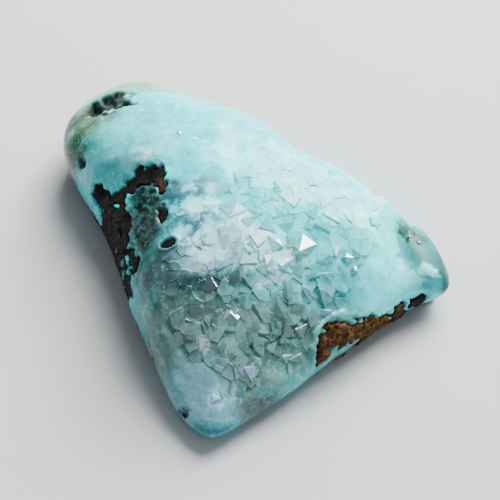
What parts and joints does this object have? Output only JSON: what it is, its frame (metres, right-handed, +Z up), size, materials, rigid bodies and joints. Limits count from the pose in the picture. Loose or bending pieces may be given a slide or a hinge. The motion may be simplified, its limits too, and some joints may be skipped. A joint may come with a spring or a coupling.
{
  "type": "gem silica specimen",
  "caption": "Hand-ground nugget of blue-green gem silica with druzy quartz on its top, on a bed of dark host rock that crops out at two edges.",
  "frame": {"origin": "middle of the flat ground base", "axes": "+Z up from the base, +Y towards the far, rounded end, +X towards the right-hand corner"},
  "size_m": [0.0318, 0.0348, 0.0095],
  "materials": {
    "chalcedony": "polished",
    "host_rock": "matte"
  },
  "bodies": {
    "root": {"gem_silica": "chalcedony", "matrix": "host_rock"}
  },
  "joints": []
}
